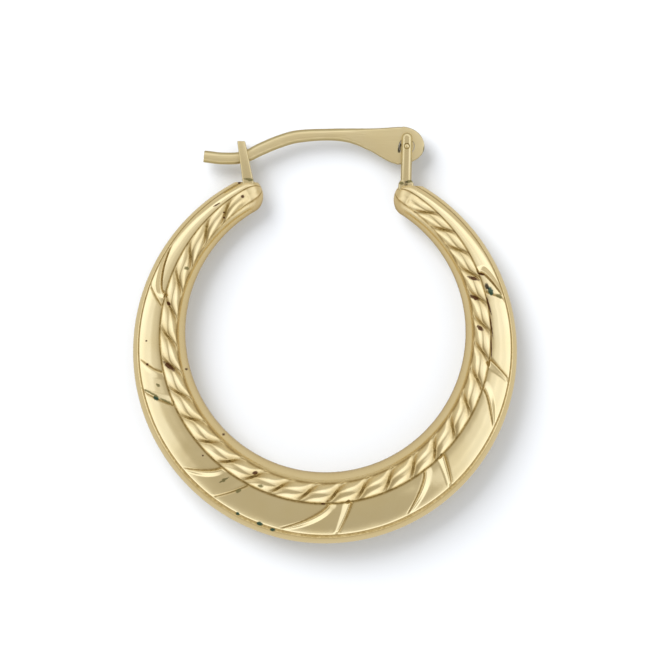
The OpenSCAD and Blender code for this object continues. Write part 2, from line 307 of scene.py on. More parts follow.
def buildShellTree():
    tree = bpy.data.node_groups.new("pressed half shell", "GeometryNodeTree")
    graph = Graph(tree)
    inputs = {}
    wanted = [
        ("Along", "NodeSocketInt", hoopSizes["along"]),
        ("Across", "NodeSocketInt", hoopSizes["across"]),
        ("Side", "NodeSocketFloat", 1.0),
        ("Depth middle", "NodeSocketFloat", hoopSizes["depthMiddle"]),
        ("Depth end", "NodeSocketFloat", hoopSizes["depthEnd"]),
        ("Strands", "NodeSocketFloat", float(ropeSizes["strands"])),
        ("Strand lean", "NodeSocketFloat", ropeSizes["lean"]),
        ("Notch depth", "NodeSocketFloat", ropeSizes["notch"]),
        ("Leaf height", "NodeSocketFloat", leafSizes["height"]),
        ("Leaf half width", "NodeSocketFloat", leafSizes["halfWidth"]),
        ("Hand wobble", "NodeSocketFloat", hoopSizes["wobble"]),
        ("Seed", "NodeSocketFloat", hoopSizes["seed"]),
        ("Gold", "NodeSocketMaterial", None),
    ]
    for name, kind, value in wanted:
        item = tree.interface.new_socket(name, in_out="INPUT", socket_type=kind)
        if value is not None:
            item.default_value = value
        inputs[name] = item.identifier
    tree.interface.new_socket("Geometry", in_out="OUTPUT", socket_type="NodeSocketGeometry")
    entry = tree.nodes.new("NodeGroupInput")
    given = {name: Term(graph, entry.outputs[name]) for name, kind, value in wanted}

    grid = graph.node(
        "GeometryNodeMeshGrid",
        {},
        {"Size X": 2.0, "Size Y": 1.0, "Vertices X": given["Along"], "Vertices Y": given["Across"]},
    )
    along, fromMiddle = graph.parts(graph.node("GeometryNodeInputPosition"))[:2]
    across = fromMiddle + 0.5

    # angle along the hoop, with the nose drawn in at each end
    noseSpan = noseArc * hoopSizes["noseSpread"]
    reach = abs(along) * (halfSweep + noseSpan)
    turned = ((reach - halfSweep).most(0.0) / noseSpan).clamped() * quarterTurn
    squeeze = turned.cos()
    angle = along.sign() * (reach.least(halfSweep) + noseArc * turned.sin())
    turn = (1.0 - angle.cos()) / (1.0 - math.cos(tipAngle))
    toTip = halfSweep - abs(angle)

    # places across each band, and the band's share of the width
    def placeIn(band):
        start, span = meshBands[band]
        return ((across - start) / span).clamped()

    def share(column):
        return graph.curve([(row[0], row[column]) for row in bandTable], turn)

    rimPlace = placeIn("rim")
    ropePlace = placeIn("rope")
    panelPlace = placeIn("panel")
    edgePlace = placeIn("edge")
    rimShare = share(1)
    ropeShare = share(2)
    edgeShare = share(3)
    panelShare = 1.0 - rimShare - ropeShare - edgeShare
    rimRound = 1.0 - (rimPlace * quarterTurn).cos()
    edgeRound = (edgePlace * quarterTurn).sin()
    widthShare = (
        rimShare * rimRound + ropeShare * ropePlace + panelShare * panelPlace + edgeShare * edgeRound
    )
    inner = (innerRadius ** 2 - (innerShift * angle.sin()) ** 2.0).sqrt() - innerShift * angle.cos()
    radius = inner + (hoopRadius - inner) * widthShare
    deep = blend(turn, given["Depth middle"], given["Depth end"]) * 0.5
    small = deep / (hoopSizes["depthMiddle"] / 2)

    # the smooth section
    rimRise = sectionSizes["rimRise"] * rimRound ** sectionSizes["rimPower"]
    bead = 1.0 - abs(2.0 * ropePlace - 1.0) ** sectionSizes["ropePower"]
    ropeRise = sectionSizes["ropeRise"] * bead + sectionSizes["ropeTilt"] * ropePlace ** 2.0
    panelRise = -sectionSizes["panelTilt"] * panelPlace - sectionSizes["panelFall"] * panelPlace ** 2.0
    edgeFall = 1.0 - (edgePlace * quarterTurn).cos()
    groove = edgePlace.peak(sectionSizes["grooveAt"], sectionSizes["grooveWidth"]) * sectionSizes["groove"]
    edgeRise = -sectionSizes["edgeTilt"] * edgeRound - sectionSizes["edgeFall"] * edgeFall - groove
    section = rimRise + ropeRise + panelRise + edgeRise

    # strands of the rope, closer at the tips and wider towards the catch
    fadeEnds = (toTip / math.radians(ropeSizes["fade"])).eased()
    lean = 0.5 - (1.0 - 2.0 * ropePlace).arccos() / math.pi
    around = (angle - given["Strand lean"] * (math.pi / 180) * lean * fadeEnds) / halfSweep
    counted = []
    for i in range(17):
        even = i / 8 - 1
        crowded = even + (1 - even ** 2) * (ropeSizes["crowd"] * even + ropeSizes["drift"])
        counted.append((crowded / 2 + 0.5, i / 16))
    strand = (graph.curve(counted, around / 2 + 0.5) * given["Strands"]).fract()
    fromCrown = abs(2.0 * strand - 1.0)
    wall = ropeSizes["wallShare"] * fromCrown ** ropeSizes["wallPower"]
    cleft = ropeSizes["cleftShare"] * fromCrown ** ropeSizes["cleftPower"]
    ropeWindow = (ropePlace * math.pi).sin().most(0.0) ** ropeSizes["windowPower"]
    dip = given["Notch depth"] * small * ropeWindow * (wall + cleft)

    # leaves of the wraps
    panelWindow = (panelPlace / leafSizes["fadeIn"]).eased()
    panelWindow = panelWindow * ((1.0 - panelPlace) / leafSizes["fadeOut"]).eased()
    longTip = leafSizes["longTip"]
    longTaper = (1.0 - panelPlace ** leafSizes["longPower"]) * (1.0 - longTip) + longTip
    shortTaper = leafSizes["shortStart"] - leafSizes["shortLoss"] * panelPlace
    crest = leafSizes["crest"]
    panelWidth = (hoopRadius - inner) * panelShare
    ridges = []
    cuts = []
    shades = []
    for longIn, longOut, bend, longHigh, shortIn, shortOut, shortHigh in wrapTable:
        leaves = [
            (longIn, longOut, bend, longTaper, crest, longHigh),
            (shortIn, shortOut, 1.0, shortTaper, -crest, shortHigh),
        ]
        for start, end, curl, taper, lead, strength in leaves:
            # the crest stands towards the crease, and the other side slopes away
            middle = blend(panelPlace ** curl, math.radians(start), math.radians(end))
            slant = math.radians(end - start) * curl * panelPlace ** (curl - 1.0) * radius / panelWidth
            apart = (angle - middle) * radius / (1.0 + slant * slant).sqrt()
            offset = apart / given["Leaf half width"] / taper + lead
            slope = (1.0 + lead) - 2.0 * lead * (offset < 0.0)
            creaseAt = math.copysign(leafSizes["creaseAt"], -lead)
            ridges.append((1.0 - abs(offset / slope)).most(0.0) * strength * taper)
            cuts.append(offset.peak(creaseAt, leafSizes["creaseWidth"]))
            shades.append(offset.peak(creaseAt, leafSizes["shadeWidth"]))
    leafRise = given["Leaf height"] * reduce(Term.most, ridges) * panelWindow
    rise = leafRise - leafSizes["crease"] * reduce(Term.most, cuts) * panelWindow

    # a small wobble, as hand finishing leaves it
    wobbleAt = graph.node(
        "ShaderNodeCombineXYZ", {}, {0: angle * 10.0, 1: radius, 2: given["Seed"] + given["Side"]}
    )
    wobble = graph.node(
        "ShaderNodeTexNoise",
        {"noise_dimensions": "3D"},
        {"Vector": wobbleAt, "Scale": hoopSizes["wobbleScale"], "Detail": 1.0},
    )
    onTop = (rimPlace * quarterTurn).sin() * (1.0 - edgePlace)
    height = deep * section + rise - dip + given["Hand wobble"] * (wobble - 0.5) * onTop

    finalRadius = blend(squeeze, (inner + hoopRadius) * 0.5, radius)
    finalHeight = given["Side"] * height * squeeze
    point = graph.node(
        "ShaderNodeCombineXYZ",
        {},
        {0: finalRadius * angle.sin(), 1: finalRadius * angle.cos() * -1.0, 2: finalHeight},
    )

    # tarnish and painted shade in the lines of the relief: the narrow lines are partly tarnish, and the
    # wide shade round the notches, at the rope's foot and in the leaf creases is painted shade
    beforeRope = (1.0 - ropePlace * tarnishAndShadeSizes["bandFade"]).clamped()
    beforePanel = (1.0 - panelPlace * tarnishAndShadeSizes["bandFade"]).clamped()
    onEdge = (edgePlace / tarnishAndShadeSizes["edgeFade"]).clamped()
    nearTip = ((abs(angle) - tarnishAndShadeSizes["tipFrom"]) / tarnishAndShadeSizes["tipSpan"]).eased()
    onStrands = ropeWindow * (toTip / tarnishAndShadeSizes["ropeEnd"]).eased()
    seamLine = ropePlace.peak(1.0, tarnishAndShadeSizes["seamWidth"]) * beforePanel
    rimLine = rimPlace.peak(1.0, tarnishAndShadeSizes["rimWidth"]) * beforeRope
    edgeLine = edgePlace.peak(tarnishAndShadeSizes["edgeAt"], tarnishAndShadeSizes["edgeWidth"]) * onEdge
    notchWidth = tarnishAndShadeSizes["notchWidth"] + tarnishAndShadeSizes["notchWiden"] * nearTip
    notchLine = fromCrown.peak(1.0, notchWidth) * onStrands
    notchShade = fromCrown.peak(1.0, notchWidth * tarnishAndShadeSizes["notchSpread"]) * onStrands
    notchShade = notchShade * (tarnishAndShadeSizes["notchShade"] - tarnishAndShadeSizes["notchShadeLoss"] * nearTip)
    footShade = (0.5 - abs(ropePlace - 0.5)).peak(0.0, tarnishAndShadeSizes["footWidth"])
    footShade = footShade * beforePanel * (rimPlace > tarnishAndShadeSizes["footFrom"])
    leafLine = reduce(Term.most, shades) * panelWindow
    # painted shade along the seam inside the hoop, and in the border opposite the ear wire
    innerSeam = rimPlace.peak(0.0, tarnishAndShadeSizes["innerSeamWidth"])
    opposite = ((angle.cos() - tarnishAndShadeSizes["lowFrom"]) / tarnishAndShadeSizes["lowSpan"]).clamped()
    lowEdge = edgePlace.peak(tarnishAndShadeSizes["lowEdgeAt"], tarnishAndShadeSizes["lowEdgeWidth"]) * opposite * onEdge
    tarnishAndShade = reduce(Term.most, [
        notchLine,
        seamLine,
        notchShade,
        rimLine * tarnishAndShadeSizes["rim"],
        footShade * tarnishAndShadeSizes["foot"],
        edgeLine * tarnishAndShadeSizes["edge"],
        leafLine * tarnishAndShadeSizes["crease"],
        innerSeam * tarnishAndShadeSizes["innerSeam"],
        lowEdge * tarnishAndShadeSizes["lowEdge"],
    ])
    # both fields are worked out on the flat grid, before it is bent
    for name, value in (("crease", tarnishAndShade), ("angle", angle)):
        grid = graph.node(
            "GeometryNodeStoreNamedAttribute",
            {"data_type": "FLOAT", "domain": "POINT"},
            {"Geometry": grid, "Name": name, "Value": value},
        )
    bent = graph.node("GeometryNodeSetPosition", {}, {"Geometry": grid, "Position": point})
    smooth = graph.node("GeometryNodeSetShadeSmooth", {}, {"Geometry": bent})
    real = graph.node("GeometryNodeRealizeInstances", {}, {"Geometry": smooth})
    painted = graph.node("GeometryNodeSetMaterial", {}, {"Geometry": real, "Material": given["Gold"]})
    leave = tree.nodes.new("NodeGroupOutput")
    tree.links.new(painted.socket, leave.inputs[0])
    return tree, inputs


def newObject(name, data):
    made = bpy.data.objects.new(name, data)
    bpy.context.scene.collection.objects.link(made)
    return made


def bakeNodes(name, tree, inputs, values, gold):
    carrier = newObject(name, bpy.data.meshes.new(name + " carrier"))
    modifier = carrier.modifiers.new("shape", "NODES")
    modifier.node_group = tree
    for key, value in values.items():
        modifier[inputs[key]] = value
    modifier[inputs["Gold"]] = gold
    carrier.update_tag()
    bpy.context.view_layer.update()
    graphNow = bpy.context.evaluated_depsgraph_get()
    seen = carrier.evaluated_get(graphNow)
    mesh = bpy.data.meshes.new_from_object(seen, preserve_all_data_layers=True, depsgraph=graphNow)
    carrier.modifiers.remove(modifier)
    carrier.data = mesh
    mesh.name = name
    return carrier


def closeShell(shell):
    # file the tips flat, and close the half along the seam plane
    mesh = shell.data
    form = bmesh.new()
    form.from_mesh(mesh)

    def atFlat(vert):
        return abs(vert.co.y - flatHeight) < sameLevel

    def atSeam(vert):
        return abs(vert.co.z) < sameLevel

    bmesh.ops.remove_doubles(form, verts=form.verts, dist=mergeDistance)
    everything = form.verts[:] + form.edges[:] + form.faces[:]
    bmesh.ops.bisect_plane(
        form, geom=everything, plane_co=(0, flatHeight, 0), plane_no=(0, 1, 0), clear_outer=True
    )
    for right in (False, True):
        rim = [
            edge for edge in form.edges
            if edge.is_boundary and all(map(atFlat, edge.verts)) and (edge.verts[0].co.x > 0) == right
        ]
        bmesh.ops.contextual_create(form, geom=rim)
    rest = [edge for edge in form.edges if edge.is_boundary]
    bmesh.ops.triangle_fill(form, edges=rest, use_beauty=True)
    bmesh.ops.recalc_face_normals(form, faces=form.faces)
    for face in form.faces:
        if all(map(atFlat, face.verts)) or all(map(atSeam, face.verts)):
            face.smooth = False
            for edge in face.edges:
                edge.smooth = False
    form.transform(hoopToRow)
    form.to_mesh(mesh)
    form.free()
    mesh.update()


goldLook = {
    "bright": (0.95, 0.82, 0.52, 1.0),
    "warm": (0.92, 0.77, 0.44, 1.0),
    # deep and crease are the colours of the tarnish and painted shade in the relief's lines
    "deep": (0.55, 0.37, 0.11, 1.0),
    "deepShare": 0.85,
    "crease": (0.15, 0.09, 0.015, 1.0),
    "creaseShare": 0.92,
    "nose": (0.50, 0.34, 0.15, 1.0),
    "noseShare": 0.15,
    "flankShade": (0.40, 0.33, 0.15, 1.0),
    "flankShadeShare": 0.62,
    "roughness": 0.13,
    "uneven": 0.10,
    "creaseDull": 0.18,
    "noseDull": 0.22,
    "flankDull": 0.1,
    "noseFrom": 0.07,
    "noseSpan": 0.09,
    "flankFrom": 0.97,
    "flankSpan": 0.16,
    "cloudScale": 0.55,
    "grainScale": 6.0,
    "lineScale": 2.2,
    "lineDepth": 0.00004,
    "scratch": 0.03,
    "drawn": 0.34,
}
# how a mark covers the gold, and from where up and how steep a front may be marked
markLook = {
    "cover": 0.92,
    "ragged": 1.3,
    "size": 1.25,
    "soft": 0.6,
    "dull": 0.25,
    "heightFrom": 1.0,
    "heightSpan": 0.3,
    "steepFrom": 0.35,
    "steepSpan": 0.2,
}
# x and y in the hoop frame, long and short radius, turn in degrees, and what the mark is
stainRows = [
    (-9.67, -1.15, 0.46, 0.13, -38, "rust"),
    (-11.05, -1.05, 0.09, 0.08, 0, "rust"),
    (-11.14, 0.42, 0.07, 0.06, 0, "rust"),
    (-8.60, -1.29, 0.10, 0.08, 0, "rust"),
    (-6.20, -5.30, 0.10, 0.08, 0, "rust"),
    (-5.59, -5.57, 0.09, 0.08, 0, "rust"),
    (-7.45, -6.64, 0.07, 0.06, 0, "rust"),
    (-4.17, -7.63, 0.17, 0.11, 10, "rust"),
    (-5.35, 9.54, 0.11, 0.10, 0, "rust"),
    (-6.49, 8.52, 0.08, 0.06, 0, "rust"),
    (-6.48, 8.20, 0.07, 0.06, 0, "rust"),
    (-9.80, 2.77, 0.17, 0.10, -40, "rust"),
    (-6.95, 9.00, 0.26, 0.05, 30, "rust"),
    (-5.59, 10.41, 0.11, 0.09, 0, "rust"),
    (10.00, 4.28, 0.20, 0.14, -68, "soot"),
    (9.14, 4.75, 0.36, 0.10, -17, "rust"),
    (9.62, 5.03, 0.22, 0.07, -17, "rust"),
    (9.25, 3.55, 0.32, 0.13, -25, "rust"),
    (9.62, 1.65, 0.24, 0.13, -35, "rust"),
    (-10.35, -2.33, 0.16, 0.09, -30, "olive"),
    (-10.76, -2.84, 0.60, 0.07, -26, "olive"),
    (-9.87, -3.29, 0.42, 0.07, -26, "olive"),
    (-10.44, -3.14, 0.22, 0.14, -26, "verdigris"),
    (-6.08, -8.11, 0.34, 0.06, 30, "olive"),
    (-8.74, 4.98, 0.15, 0.12, 0, "olive"),
    (10.22, 4.00, 0.32, 0.16, -68, "verdigris"),
    (10.77, 3.68, 0.24, 0.12, -25, "olive"),
    (-6.14, -8.14, 0.14, 0.11, 0, "olive"),
    (-5.19, -8.78, 0.18, 0.12, 20, "olive"),
    (-3.82, -8.44, 0.18, 0.12, 0, "olive"),
    (-5.22, -10.22, 0.13, 0.10, -20, "verdigris"),
    (-3.83, -10.81, 0.20, 0.12, -15, "verdigris"),
    (-3.01, -11.17, 0.17, 0.10, -10, "verdigris"),
    (0.08, -9.47, 0.14, 0.06, 0, "rust"),
    (10.33, 0.54, 0.66, 0.045, 93, "rust"),
    (10.31, 1.82, 0.66, 0.05, 100, "rust"),
    (10.13, 3.10, 0.66, 0.055, 107, "rust"),
]
# the same on the paddle: dirt and painted shadow in the hole beside the ear, and painted shade along the
# paddle's end
paddleDirtAndShade = [
    # dirt and painted shadow in the hole beside the ear
    (4.38, 12.88, 0.40, 0.10, 84, "soot"),
    # painted shade along the paddle's sloping end
    (5.88, 12.60, 0.42, 0.05, 84, "olive"),
]
# and where the ears and the fork are soldered on
solderStainsAndShadow = [
    # dirt and painted shadow in the hole beside the ear, on the ear and the rivet
    (4.38, 12.88, 0.40, 0.10, 84, "soot"),
    (5.05, 10.72, 0.30, 0.09, 10, "olive"),
    (4.55, 10.60, 0.16, 0.10, 0, "olive"),
    (-4.98, 10.62, 0.30, 0.10, -10, "olive"),
]
stainColours = {
    "verdigris": (0.010, 0.070, 0.052, 1.0),
    "olive": (0.24, 0.21, 0.085, 1.0),
    "rust": (0.075, 0.016, 0.004, 1.0),
    "soot": (0.012, 0.008, 0.006, 1.0),
}


def goldMaterial(name, relief=False, marks=None, roughness=None, drawn=False):
    material = bpy.data.materials.new(name)
    material.use_nodes = True
    graph = Graph(material.node_tree)
    shader = material.node_tree.nodes["Principled BSDF"]
    shader.inputs["Metallic"].default_value = 1.0
    where = graph.node("ShaderNodeTexCoord", out=3)
    place = graph.node("ShaderNodeVectorMath", {"operation": "SCALE"}, {0: where, "Scale": 1000.0})
    normalZ = graph.parts(graph.node("ShaderNodeTexCoord", out=1))[2]

    def noise(vector, scale, detail):
        return graph.node("ShaderNodeTexNoise", {}, {"Vector": vector, "Scale": scale, "Detail": detail})

    cloudy = noise(place, goldLook["cloudScale"], 3.0)
    fine = noise(place, goldLook["grainScale"], 4.0)
    colour = graph.colourMix((cloudy - 0.35) * 1.6, goldLook["bright"], goldLook["warm"])
    uneven = goldLook["uneven"]
    dull = (fine - 0.5) * uneven + (cloudy - 0.5) * uneven + (roughness or goldLook["roughness"])
    if relief:
        # the crease field darkens the relief's lines: partly tarnish, partly painted shade
        crease = graph.node("ShaderNodeAttribute", {"attribute_name": "crease"}, out=2)
        dark = (crease * (0.9 + 0.7 * (fine - 0.5))).clamped()
        deepShare = (dark * 1.3).clamped() * goldLook["deepShare"]
        colour = graph.colourMix(deepShare, colour, goldLook["deep"])
        colour = graph.colourMix(dark * dark * goldLook["creaseShare"], colour, goldLook["crease"])
        around = graph.node("ShaderNodeAttribute", {"attribute_name": "angle"}, out=2)
        nose = ((abs(around) - halfSweep + goldLook["noseFrom"]) / goldLook["noseSpan"]).eased()
        colour = graph.colourMix(nose * goldLook["noseShare"], colour, goldLook["nose"])
        dull = dull + dark * goldLook["creaseDull"] + nose * goldLook["noseDull"]
    else:
        # painted shade: the flanks of the wire, the ears and the fork are darker than their faces
        flankShade = ((goldLook["flankFrom"] - abs(normalZ)) / goldLook["flankSpan"]).clamped()
        colour = graph.colourMix(flankShade * goldLook["flankShadeShare"], colour, goldLook["flankShade"])
        dull = dull + flankShade * goldLook["flankDull"]
    if marks:
        east, upward, high = graph.parts(place)
        north = upward - hoopSizes["restShift"]
        frontSide = 1.0
        if relief:
            # a mark stays on what faces the front, and doesn't run down the walls
            highEnough = ((high - markLook["heightFrom"]) / markLook["heightSpan"]).clamped()
            flatEnough = ((normalZ - markLook["steepFrom"]) / markLook["steepSpan"]).clamped()
            frontSide = highEnough * flatEnough
        ragged = (fine - 0.5) * markLook["ragged"]
        for kind, paint in stainColours.items():
            spots = []
            for x, y, longRadius, shortRadius, degrees, what in marks:
                if what != kind:
                    continue
                cosine = math.cos(math.radians(degrees))
                sine = math.sin(math.radians(degrees))
                ahead = ((east - x) * cosine + (north - y) * sine) / longRadius
                aside = ((north - y) * cosine - (east - x) * sine) / shortRadius
                away = (ahead ** 2.0 + aside ** 2.0).sqrt() + ragged
                spots.append(((markLook["size"] - away) / markLook["soft"]).eased())
            if spots:
                mask = reduce(Term.most, spots) * frontSide
                colour = graph.colourMix(mask * markLook["cover"], colour, paint)
                dull = dull + mask * markLook["dull"]
    lines = graph.node(
        "ShaderNodeMapping",
        {},
        {
            "Vector": place,
            "Rotation": (0.0, 0.0, -0.05) if drawn else (0.3, 0.2, 0.7),
            "Scale": (0.35, 6.0, 6.0) if drawn else (0.5, 9.0, 3.0),
        },
    )
    hairs = noise(lines, goldLook["lineScale"], 5.0)
    rough = graph.node(
        "ShaderNodeBump",
        {},
        {
            "Strength": goldLook["drawn" if drawn else "scratch"],
            "Distance": goldLook["lineDepth"],
            "Height": hairs + (2.5 * cloudy if drawn else 0.6 * fine),
        },
    )
    graph.plug(shader.inputs["Base Color"], colour)
    graph.plug(shader.inputs["Roughness"], dull.clamped())
    graph.plug(shader.inputs["Normal"], rough)
    return material


wireSizes = {
    "width": 0.74,
    "thickness": 0.70,
    "edge": 0.3,
    "tail": 2.5,
    "tailRound": 0.16,
    "crestRise": 0.65,
    "seatDrop": 0.84,
    "thinFrom": 0.55,
    "thinSpan": 0.3,
    "paddleFrom": 0.95,
    "paddleWidth": 2.4,
    "paddleThickness": 0.5,
    "paddleReach": 1.1,
    "hole": 1.0,
    "rings": 150,
    "endRings": 25,
}
hingeSizes = {
    "inset": 0.63,
    "rise": 2.47,
    "earWidth": 0.67,
    "earThickness": 0.3,
    "earCrest": 0.86,
    "faceRound": 0.233,
    "footWidth": 0.95,
    "footHeight": 0.36,
    "footRound": 0.09,
    "webOverlap": 0.1,
    "webRound": 0.05,
    "sideGap": 0.06,
    "rivet": 0.34,
    "boreGap": 0.02,
}
catchSizes = {
    "inset": 0.83,
    "root": 0.7,
    "top": 0.5,
    "prong": 0.3,
    "rise": 2.55,
    "lean": 11.0,
    "gap": 0.08,
    "round": 0.07,
}
rivetSizes = {
    "barrelGap": 0.04,
    "endGap": 0.02,
    "headDrop": 0.04,
    "crownShare": 0.6,
    "crownDrop": 0.01,
    "shoulderDrop": 0.06,
    "steps": 48,
}
# place along the wire, height share of its middle, growth in width
wireTable = [
    (-1.00, -0.03, 0.00),
    (-0.50, -0.10, 0.00),
    (0.00, 0.00, 0.00),
    (0.10, 0.31, 0.02),
    (0.20, 0.62, 0.03),
    (0.32, 0.88, 0.03),
    (0.52, 1.00, 0.00),
    (0.66, 0.97, 0.11),
    (0.80, 0.81, 0.46),
    (0.92, 0.64, 0.90),
    (1.00, 0.56, 1.00),
]
pivotX = hoopSizes["tipGap"] / 2 + hingeSizes["inset"]
pivotY = flatHeight + hingeSizes["rise"]
forkX = -hoopSizes["tipGap"] / 2 - catchSizes["inset"]
seatY = pivotY - wireSizes["seatDrop"]
seatX = forkX - (seatY - flatHeight) * math.tan(math.radians(catchSizes["lean"]))
earSpan = wireSizes["paddleThickness"] + 2 * hingeSizes["sideGap"]
slotSpan = wireSizes["thickness"] + 2 * catchSizes["gap"]
solderedBase = flatHeight - 0.3  # what is soldered on reaches a little into the tips


def easeNumber(t):
    t = max(0.0, min(1.0, t))
    return t * t * (3 - 2 * t)


def tableValue(rows, column, place):
    # a smooth value between the rows of a table
    i = 0
    while i < len(rows) - 2 and place >= rows[i + 1][0]:
        i += 1

    def slope(k):
        low = rows[max(k - 1, 0)]
        high = rows[min(k + 1, len(rows) - 1)]
        return (high[column] - low[column]) / (high[0] - low[0])

    step = rows[i + 1][0] - rows[i][0]
    t = (place - rows[i][0]) / step
    start, end = rows[i][column], rows[i + 1][column]
    return (
        start + (end - start) * t * t * (3 - 2 * t)
        + t * (1 - t) * step * ((1 - t) * slope(i) - t * slope(i + 1))
    )


def wirePoint(s):
    # s is 0 in the fork, 1 at the pivot, and below 0 along the free end
    x = seatX + s * wireSizes["tail"] if s < 0 else seatX + (pivotX - seatX) * s
    y = seatY + (pivotY + wireSizes["crestRise"] - seatY) * tableValue(wireTable, 1, s)
    return x, y


def roundedRing(width, thickness, edge, steps=6):
    # outline of a flattened wire, anticlockwise
    points = []
    for signW, signT, start in ((1, 1, 0), (-1, 1, 90), (-1, -1, 180), (1, -1, 270)):
        for i in range(steps + 1):
            corner = math.radians(start + 90 * i / steps)
            points.append((
                signW * (width / 2 - edge) + edge * math.cos(corner),
                signT * (thickness / 2 - edge) + edge * math.sin(corner),
            ))
    return points


def ringsToMesh(name, rings):
    form = bmesh.new()
    loops = [[form.verts.new(p) for p in ring] for ring in rings]
    size = len(rings[0])
    for low, high in zip(loops, loops[1:]):
        for j in range(size):
            k = (j + 1) % size
            form.faces.new((low[j], low[k], high[k], high[j]))
    form.faces.new(list(reversed(loops[0])))
    form.faces.new(loops[-1])
    bmesh.ops.recalc_face_normals(form, faces=form.faces)
    for face in form.faces:
        face.smooth = True
    mesh = bpy.data.meshes.new(name)
    form.to_mesh(mesh)
    form.free()
    return mesh


def applyModifiers(piece):
    bpy.context.view_layer.update()
    graphNow = bpy.context.evaluated_depsgraph_get()
    seen = piece.evaluated_get(graphNow)
    mesh = bpy.data.meshes.new_from_object(seen, preserve_all_data_layers=True, depsgraph=graphNow)
    piece.modifiers.clear()
    piece.data = mesh
    return piece


def barMesh(name, centre, radius, height, segments=48):
    form = bmesh.new()
    bmesh.ops.create_cone(
        form, cap_ends=True, segments=segments, radius1=radius, radius2=radius, depth=height
    )
    form.transform(Matrix.Translation(centre))
    mesh = bpy.data.meshes.new(name)
    form.to_mesh(mesh)
    form.free()
    return mesh


def cutWith(piece, cutterMesh):
    cutter = newObject(piece.name + " cutter", cutterMesh)
    modifier = piece.modifiers.new("cut", "BOOLEAN")
    modifier.operation = "DIFFERENCE"
    modifier.solver = "EXACT"
    modifier.object = cutter
    applyModifiers(piece)
    bpy.data.objects.remove(cutter)
    return piece


def smoothByAngle(mesh, degrees):
    form = bmesh.new()
    form.from_mesh(mesh)
    for face in form.faces:
        face.smooth = True
    limit = math.radians(degrees)
    for edge in form.edges:
        edge.smooth = len(edge.link_faces) == 2 and edge.calc_face_angle(0.0) < limit
    form.to_mesh(mesh)
    form.free()


def makeEarWire():
    paddleFrom = wireSizes["paddleFrom"]

    def tiltedRing(x, y, tilt, width, thickness, edge):
        return [
            (x - w * math.sin(tilt), y + w * math.cos(tilt), t)
            for w, t in roundedRing(width, thickness, edge)
        ]

    def ringAt(s, shrink=1.0):
        x, y = wirePoint(s)
        held = min(s, paddleFrom)
        ahead, behind = wirePoint(held + 0.01), wirePoint(held - 0.01)
        tilt = math.atan2(ahead[1] - behind[1], ahead[0] - behind[0])
        growth = tableValue(wireTable, 2, s)
        width = (wireSizes["width"] + (wireSizes["paddleWidth"] - wireSizes["width"]) * growth) * shrink
        thin = easeNumber((s - wireSizes["thinFrom"]) / wireSizes["thinSpan"])
        thickness = wireSizes["thickness"] * (1 - thin) + wireSizes["paddleThickness"] * thin
        thickness *= shrink
        edge = min(wireSizes["edge"] * (1 - 0.5 * thin), thickness * 0.45, width * 0.45)
        return tiltedRing(x, y, tilt, width, thickness, edge)

    # the free end is rounded off over its first rings
    rings = []
    tailRound = wireSizes["tailRound"] / wireSizes["tail"]
    for degrees in (8, 25, 42, 60, 75):
        swell = math.sin(math.radians(degrees))
        rings.append(ringAt(-1 + tailRound * (1 - swell), 0.55 + 0.45 * swell))
    count = wireSizes["rings"]
    for i in range(count + 1):
        rings.append(ringAt(-1 + tailRound + (paddleFrom + 1 - tailRound) * i / count))

    # and the paddle closes in a round end
    fromX, fromY = wirePoint(paddleFrom)
    nextX, nextY = wirePoint(paddleFrom + 0.01)
    endTilt = math.atan2(nextY - fromY, nextX - fromX)
    length = pivotX + wireSizes["paddleReach"] - fromX
    thickness = wireSizes["paddleThickness"]
    for i in range(1, wireSizes["endRings"]):
        closed = math.radians(90 * i / wireSizes["endRings"])
        x = fromX + length * math.sin(closed)
        y = fromY + (pivotY - fromY) * math.sin(closed)
        width = wireSizes["paddleWidth"] * max(math.cos(closed), 0.1)
        edge = 0.1 if width > 0.3 else 0.08
        rings.append(tiltedRing(x, y, endTilt * math.cos(closed), width, thickness, edge))
    wire = newObject("earWire", ringsToMesh("earWire", rings))
    cutWith(wire, barMesh("hole", (pivotX, pivotY, 0), wireSizes["hole"] / 2, 3.0, 64))
    smoothByAngle(wire.data, 50)
    return wire


def prism(name, outline, low, high):
    form = bmesh.new()
    bottom = [form.verts.new((x, y, low)) for x, y in outline]
    top = [form.verts.new((x, y, high)) for x, y in outline]
    form.faces.new(list(reversed(bottom)))
    form.faces.new(top)
    for i in range(len(outline)):
        k = (i + 1) % len(outline)
        form.faces.new((bottom[i], bottom[k], top[k], top[i]))
    bmesh.ops.recalc_face_normals(form, faces=form.faces)
    mesh = bpy.data.meshes.new(name)
    form.to_mesh(mesh)
    form.free()
    return mesh


def softenEdges(piece, width, segments=4, angle=35):
    modifier = piece.modifiers.new("rounded", "BEVEL")
    modifier.width = width
    modifier.segments = segments
    modifier.limit_method = "ANGLE"
    modifier.angle_limit = math.radians(angle)
    applyModifiers(piece)
    smoothByAngle(piece.data, 40)
    return piece


def roundFace(piece, level, width, segments=8):
    # rounds the edges of one flat face, so that a strip becomes a half round
    form = bmesh.new()
    form.from_mesh(piece.data)
    around = [
        edge for edge in form.edges
        if all(abs(vert.co.z - level) < sameLevel for vert in edge.verts)
    ]
    bmesh.ops.bevel(
        form, geom=around, offset=width, segments=segments, profile=0.5, affect="EDGES",
        clamp_overlap=True,
    )
    form.to_mesh(piece.data)
    form.free()


